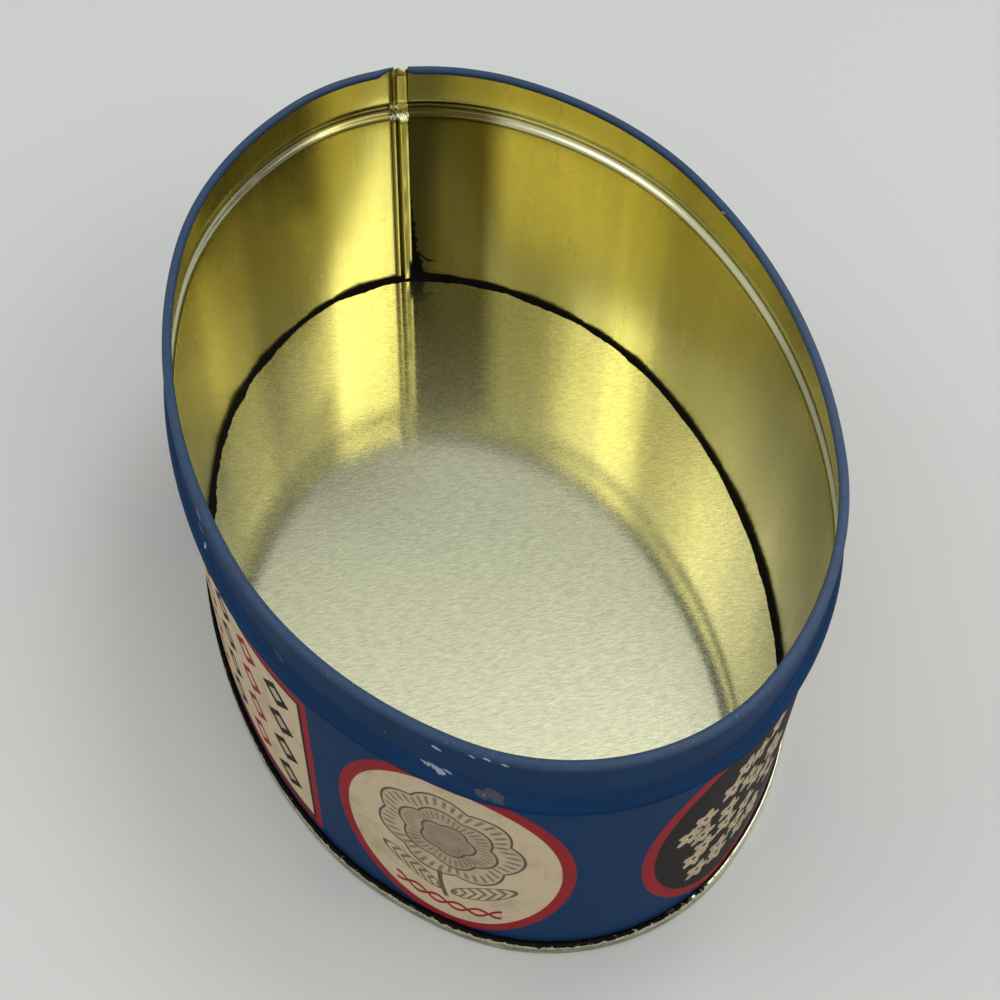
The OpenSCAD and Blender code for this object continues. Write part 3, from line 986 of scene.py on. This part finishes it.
class TIN_OT_upright_seam(Operator):
    """Adds the locked seam that closes the wall, and the tab left at the rim"""

    bl_idname = "tin.upright_seam"
    bl_label = "Upright seam"

    # Distance from the seam's middle and height over the wall in millimetres, below the bead and on the neck
    BODY_FOLD = (
        (-2.0, -0.05), (-1.9, 0.2), (-1.7, 0.3), (-0.9, 0.3), (-0.62, 0.08), (-0.35, 0.4),
        (-0.1, 0.78), (0.25, 0.9), (1.3, 0.86), (1.7, 0.8), (1.9, 0.6), (2.0, -0.05),
    )
    NECK_FOLD = (
        (-2.0, -0.05), (-1.9, 0.1), (-1.35, 0.14), (-1.2, 0.5), (-1.0, 0.62), (-0.7, 0.5),
        (0.9, 0.46), (1.5, 0.6), (1.75, 0.62), (1.9, 0.45), (2.0, -0.05),
    )
    # The tab's path over the rim, in millimetres: distance out, height and how much higher it is at its peak
    TAB_PATH = (
        (-0.45, -2.35, 0), (-0.5, -0.85, 0), (-0.75, -0.25, 0.2),
        (-1.2, -0.05, 0.45), (-1.6, -0.45, 0.3), (-1.75, -1.05, 0.1),
    )

    def execute(self, context):
        sizes, colours = context.scene.tin_sizes, context.scene.tin_colours
        oval = Oval(sizes)
        finish = lacquer_finish(colours, bead_shape(sizes)[0] / MM, oval.half / MM)
        for piece in (self.fold(sizes, oval, finish), self.tab(sizes, oval, finish)):
            fit_out(piece, "body_wall")
        return {"FINISHED"}

    def fold(self, sizes, oval, finish):
        """The locked fold up the wall, crushed where the bead crosses it."""
        follow, flattened, crush, sway_out = 0.55, 0.7, 0.09, 0.05
        below_rim = 1.3 * MM
        bead_at, bead_half, _ = bead_shape(sizes)
        aside = np.linspace(-sizes.lock_width / 2, sizes.lock_width / 2, 57)
        up = np.linspace(sizes.panel_height + sizes.seal_height / 2, sizes.height - below_rim, 260)
        low, high = [np.interp(aside / MM, *zip(*f))[:, None] for f in (self.BODY_FOLD, self.NECK_FOLD)]
        neck = ease(up, bead_at - 0.5 * MM, bead_at + 1.5 * MM)
        over = low * (1 - neck) + high * neck
        sway = ripple(up, 60 * MM, (1, 2, 4, 7), 5) * ease(aside, 0, 1 * MM)[:, None]
        over = over + sway_out * sway * (over > 0.5)
        in_bead = band(up, bead_at, bead_half * 1.15, bead_half * 0.5)
        crushed = np.random.default_rng(11).uniform(-crush, crush, over.shape)
        places, _, names = wall_line(sizes)
        bulge = np.interp(up, *places[names == "bead"].T[::-1]) + sizes.sheet / 2
        raised = MM * (over * (1 - flattened * in_bead) - crushed * in_bead)
        front = follow * bulge - sizes.sheet - raised
        back = np.broadcast_to(bulge - 0.6 * sizes.sheet, front.shape)
        return self.strip("upright_seam", oval, aside, (front, back), up, finish)

    def tab(self, sizes, oval, finish):
        """The cut end of the fold at the rim, bent to a low peak."""
        peak_at, peak_half = 0.1, 1.4
        aside = np.linspace(-1.3 * MM, 1.25 * MM, 25)
        peak = 1 - np.abs(aside / MM - peak_at) / peak_half
        out, over, rise = np.array(self.TAB_PATH).T
        out = np.broadcast_to(out * MM, (len(aside), len(out)))
        up = sizes.height + MM * (over + peak[:, None] * rise)
        return self.strip("rim_tab", oval, aside, (out, out - sizes.sheet * 0.8), up, finish)

    def strip(self, name, oval, aside, outs, up, finish):
        """A closed strip beside the seam's middle line, from its two sides."""
        around = oval.half - aside
        turn = oval.turn(np.where(around > oval.half, around - 2 * oval.half, around))
        sides = [oval.solid(turn, out, up + 0 * out) for out in outs]
        faces, parts = sheet_faces(whole(sides))
        points, lengths = both_sides(sides, around)
        return add_mesh(name, points, faces, parts * 0, [finish], lengths, 2 * oval.half, sharp=50)


class TIN_OT_bottom(Operator):
    """Adds the bottom: the double seam that the tin stands on and the flat panel"""

    bl_idname = "tin.bottom"
    bl_label = "Bottom"

    # Depth of the panel's slight waves, and the length of one radian of them along X and Y
    WAVE = 0.03 * MM
    WAVE_X, WAVE_Y = 13 * MM, 11 * MM

    def execute(self, context):
        sizes, colours = context.scene.tin_sizes, context.scene.tin_colours
        oval = Oval(sizes)
        around = stations(oval, step=1 * MM, fine_step=0.5 * MM, fine_reach=6 * MM)
        turn = oval.turn(around)
        line = bottom_line(sizes)
        shrink = np.linspace(1, 0, 33)[1:]
        sides = []
        for side in sheet_sides(line, sizes.sheet):
            folded = oval.solid(turn, np.broadcast_to(side[:, 0], (len(turn), len(side))), side[None, :, 1])
            panel = folded[:, -1:, :] * np.stack([shrink, shrink, np.ones_like(shrink)], -1)
            panel[..., 2] += self.waves(panel, 1 - shrink)
            sides.append(np.concatenate([folded, panel], 1))
        keep = whole(sides, closed=True)
        faces, parts = sheet_faces(keep, closed=True)
        on_panel = np.arange(keep.shape[1]) >= np.argmax(line[2] == "bend")
        bright = (parts == 0) & np.resize(on_panel, len(parts))
        points, lengths = both_sides(sides, around)
        finishes = [seam_finish(colours, sizes), tin_finish(colours)]
        piece = add_mesh("bottom", points, faces, bright, finishes, lengths, 2 * oval.half)
        fit_out(piece, "bottom_end")
        return {"FINISHED"}

    def waves(self, panel, inward):
        """Slight waves of the panel, none at its edge."""
        wave = np.sin(panel[..., 0] / self.WAVE_X + 0.7) * np.cos(panel[..., 1] / self.WAVE_Y - 0.4)
        return self.WAVE * wave * ease(inward, 0, 0.3)


class TIN_OT_seal(Operator):
    """Adds the compound in the groove at the foot of the wall, and the smear beside the seam"""

    bl_idname = "tin.seal"
    bl_label = "Seal"

    # Section of the run of compound: shares of its width, then its corners down in the groove, as distances
    # out of the wall and heights over the panel
    RUN_SHARES = np.array([0, 0.12, 0.35, 0.65, 0.9, 1.0])
    RUN_UNDER = np.array([(-0.9, -0.35), (-0.3, -0.6)]) * MM
    # In millimetres: the smear's width at heights over the panel, and the height of its thin branch at
    # distances from the upright seam's middle
    SMEAR_FROM, SMEAR_TO = 1.9, 9
    SMEAR_WIDTHS = (
        (0, 2.8), (1, 2.2), (4, 2.2), (6.5, 1.6), (8.5, 0.9), (11, 1.1),
        (13.5, 0.6), (15.5, 0.8), (17, 0.3), (19, 0.5), (20, 0.0), (22, 0.2),
    )
    BRANCH = ((3.2, 7.4), (4.6, 5.6), (5.6, 4.9), (8.2, 4.9))
    BRANCH_FROM, BRANCH_TO = 3.0, 8.0

    def execute(self, context):
        sizes, colours = context.scene.tin_sizes, context.scene.tin_colours
        oval = Oval(sizes)
        finish = compound_finish(colours)
        for piece in (self.ring(sizes, oval, finish), self.smear(sizes, oval, finish)):
            fit_out(piece, "seam_compound")
        return {"FINISHED"}

    def ring(self, sizes, oval, finish):
        """The run of compound all round, uneven along both of its edges."""
        loop = 2 * oval.half
        around = np.linspace(-oval.half, oval.half, 900)
        turn = oval.turn(around)
        aside = oval.from_seam(around)
        coarse = ripple(around, loop, (7, 11, 18, 29, 41), 21)
        fine = ripple(around, loop, (67, 101, 149, 211), 22)
        height = ripple(around, loop, (5, 13, 31, 83, 157), 23)
        near = band(aside, 12 * MM, 42 * MM, 10 * MM)
        piled = band(aside, 3.2 * MM, 3.2 * MM, 0.8 * MM)
        calm = 1 - 0.6 * band(around, 85 * MM, 80 * MM, 50 * MM)
        wide = sizes.seal_width * (0.95 + 0.05 * calm + (0.24 * coarse + 0.08 * fine) * calm + 0.35 * near)
        tall = sizes.seal_height * (1 + 0.25 * height + 0.4 * near + 2.6 * piled)
        out = -sizes.sheet - wide[:, None] * self.RUN_SHARES
        out[:, 0] += sizes.sheet / 2
        up = sizes.panel_height + tall[:, None] * (1 - self.RUN_SHARES) ** 1.4
        under = np.tile(self.RUN_UNDER.T[:, None, :], (1, len(turn), 1))
        out = np.concatenate([out, under[0]], 1)
        up = np.concatenate([up, sizes.panel_height + under[1]], 1)
        rings = oval.solid(turn, out, up)[:-1]
        count, corners = rings.shape[:2]
        index = np.arange(count * corners).reshape(count, corners)
        after = np.roll(index, -1, 0)
        faces = np.stack([index, after, np.roll(after, -1, 1), np.roll(index, -1, 1)], -1).reshape(-1, 4)
        return add_mesh("seal_ring", rings.reshape(-1, 3), faces, np.zeros(len(faces)), [finish], sharp=60)

    def smear(self, sizes, oval, finish):
        """A patch of compound dragged up the wall beside the seam, with one thin branch."""
        thin, thick = 0.03 * MM, 0.32 * MM
        aside = np.linspace(self.SMEAR_FROM * MM, self.SMEAR_TO * MM, 90)
        up = np.linspace(0, sizes.smear_height, 180)
        a, u = np.meshgrid(aside / MM, up / MM, indexing="ij")
        ragged = 0.22 * np.sin(u * 2.9 + 1.0) + 0.14 * np.sin(u * 7.3) + 0.1 * np.sin(u * 13 + 2)
        body = np.interp(u, *zip(*self.SMEAR_WIDTHS)) + ragged * (u > 1) - (a - self.SMEAR_FROM)
        off_branch = np.abs(u - np.interp(a, *zip(*self.BRANCH)))
        branch = 0.32 * ease(a, 8.2, 5.0) - off_branch - 0.08 * np.sin(a * 9)
        branch = np.where((a > self.BRANCH_FROM) & (a < self.BRANCH_TO), branch, -1)
        depth = np.maximum(body, branch)
        front = -sizes.sheet - (thick * ease(depth, -0.02, 0.35) + thin)
        back = np.full_like(front, -sizes.sheet * 0.7)
        corner = depth > 0
        keep = corner[1:, 1:] & corner[:-1, 1:] & corner[1:, :-1] & corner[:-1, :-1]
        around = oval.half - aside
        turn = oval.turn(around)
        sides = [oval.solid(turn, out, sizes.panel_height + u * MM) for out in (front, back)]
        faces, parts = sheet_faces(keep)
        points = both_sides(sides, around)[0]
        return add_mesh("seal_smear", points, faces, parts * 0, [finish], sharp=60)


class TIN_OT_stage(Operator):
    """Adds the floor, the lamps and the camera"""

    bl_idname = "tin.stage"
    bl_label = "Stage"

    FLOOR_HALF = 3.0
    # Lamps: heading and height in degrees, distance and size in metres, and radiance
    LAMPS = {
        "key": (120, 65, 1.9, (0.6, 0.6), 4.5),
        "window_front": (38, 42, 1.2, (0.80, 0.46), 2.1),
        "window_right": (74, 49, 1.2, (0.60, 0.30), 1.2),
        "window_left": (-36, 37, 1.2, (0.50, 0.20), 2.2),
        "window_rear": (-102, 49, 1.2, (0.46, 0.40), 1.9),
        "window_back": (-153, 54, 1.2, (0.34, 0.18), 2.2),
    }
    # Dark places in the surroundings: heading in degrees, then where the shade starts and is full, as
    # cosines from its heading and as sines of the height, and how dark it is
    SHADES = (
        (-10, (0.82, 0.94), (0.77, 0.68), 0.6),
        (80, (0.70, 0.85), (0.62, 0.56), 1.0),
        (-173, (0.94, 0.98), (0.78, 0.74), 1.0),
    )
    # Sines of the height between which all the shades end below, and between which the light grows overhead
    SHADE_FOOT = (0.3, 0.45)
    OVERHEAD = (0.75, 0.93)

    def execute(self, context):
        scene, stage = context.scene, context.scene.tin_stage
        self.floor(stage)
        scene.world = self.surroundings(stage)
        for name, lamp in self.LAMPS.items():
            self.softbox(name, *lamp)
        scene.camera = self.camera(stage)
        scene.view_settings.view_transform = "Standard"
        return {"FINISHED"}

    def floor(self, stage):
        mesh = bpy.data.meshes.new("floor")
        work = bmesh.new()
        bmesh.ops.create_grid(work, x_segments=8, y_segments=8, size=self.FLOOR_HALF)
        work.to_mesh(mesh)
        work.free()
        mesh.materials.append(floor_finish(stage))
        floor = add_object("floor", mesh)

    def surroundings(self, stage):
        """Light from all round: brighter overhead, with dark places at middle height."""
        finish = Finish(bpy.data.worlds.new("surroundings"))
        direction = finish.node("ShaderNodeTexCoord", output="Generated")
        height = finish.node("ShaderNodeSeparateXYZ", sockets={0: direction}, output="Z")
        level = finish.math("SQRT", 1.0001 - height * height)
        light = finish.mix(finish.ease(height, *self.OVERHEAD), stage.low_sky, stage.high_sky)
        for heading, edge, top, depth in self.SHADES:
            ahead = (math.cos(math.radians(heading)), math.sin(math.radians(heading)), 0)
            toward = finish.vector_math("DOT_PRODUCT", direction, ahead, "Value") / level
            upright = finish.ease(height, *top) * finish.ease(height, *self.SHADE_FOOT)
            light = finish.mix(finish.ease(toward, *edge) * upright * depth, light, stage.shade)
        shader = finish.node("ShaderNodeBackground", sockets={"Color": light, "Strength": 1.0})
        return finish.end("ShaderNodeOutputWorld", shader)

    def softbox(self, name, heading, height, distance, size, glow):
        """A lamp that faces the tin from a heading and a height in degrees; glow is its radiance."""
        turn, rise = math.radians(heading), math.radians(height)
        flat = math.cos(rise)
        toward = Vector((flat * math.cos(turn), flat * math.sin(turn), math.sin(rise)))
        lamp = bpy.data.lights.new(name, "AREA")
        lamp.shape = "RECTANGLE"
        lamp.size, lamp.size_y = size
        lamp.energy = glow * math.pi * size[0] * size[1]
        made = add_object(name, lamp)
        made.location = toward * distance
        made.rotation_euler = (-toward).to_track_quat("-Z", "Y").to_euler()

    def camera(self, stage):
        view = bpy.data.cameras.new("camera")
        view.lens = stage.lens
        view.sensor_width = 36
        view.clip_start = 0.01
        made = add_object("camera", view)
        turn = Matrix.Rotation(stage.eye_turn, 4, "Z")
        tilt = Matrix.Rotation(stage.eye_tilt, 4, "X")
        roll = Matrix.Rotation(stage.eye_roll, 4, "Z")
        made.matrix_world = Matrix.Translation(stage.eye) @ turn @ tilt @ roll
        return made


class TIN_PT_oval_tin(Panel):
    """Lists the tin's sizes, colours and pieces"""

    bl_idname = "TIN_PT_oval_tin"
    bl_label = "Oval Tin"
    bl_space_type = "VIEW_3D"
    bl_region_type = "UI"
    bl_category = "Oval Tin"

    def draw(self, context):
        for operator in OPERATORS:
            self.layout.operator(operator.bl_idname)
        for group in (context.scene.tin_sizes, context.scene.tin_colours, context.scene.tin_stage):
            box = self.layout.box()
            for key in group.bl_rna.properties.keys():
                if key not in ("rna_type", "name"):
                    box.prop(group, key)


GROUPS = {"tin_sizes": TinSizes, "tin_colours": TinColours, "tin_stage": TinStage}
OPERATORS = (TIN_OT_wall, TIN_OT_upright_seam, TIN_OT_bottom, TIN_OT_seal, TIN_OT_stage)
CLASSES = (*GROUPS.values(), *OPERATORS, TIN_PT_oval_tin)


def register():
    for cls in CLASSES:
        bpy.utils.register_class(cls)
    for key, group in GROUPS.items():
        setattr(bpy.types.Scene, key, PointerProperty(type=group))


def unregister():
    for key in GROUPS:
        delattr(bpy.types.Scene, key)
    for cls in reversed(CLASSES):
        bpy.utils.unregister_class(cls)


def main():
    register()
    bpy.ops.tin.wall()
    bpy.ops.tin.upright_seam()
    bpy.ops.tin.bottom()
    bpy.ops.tin.seal()
    bpy.ops.tin.stage()


if __name__ == "__main__":
    main()
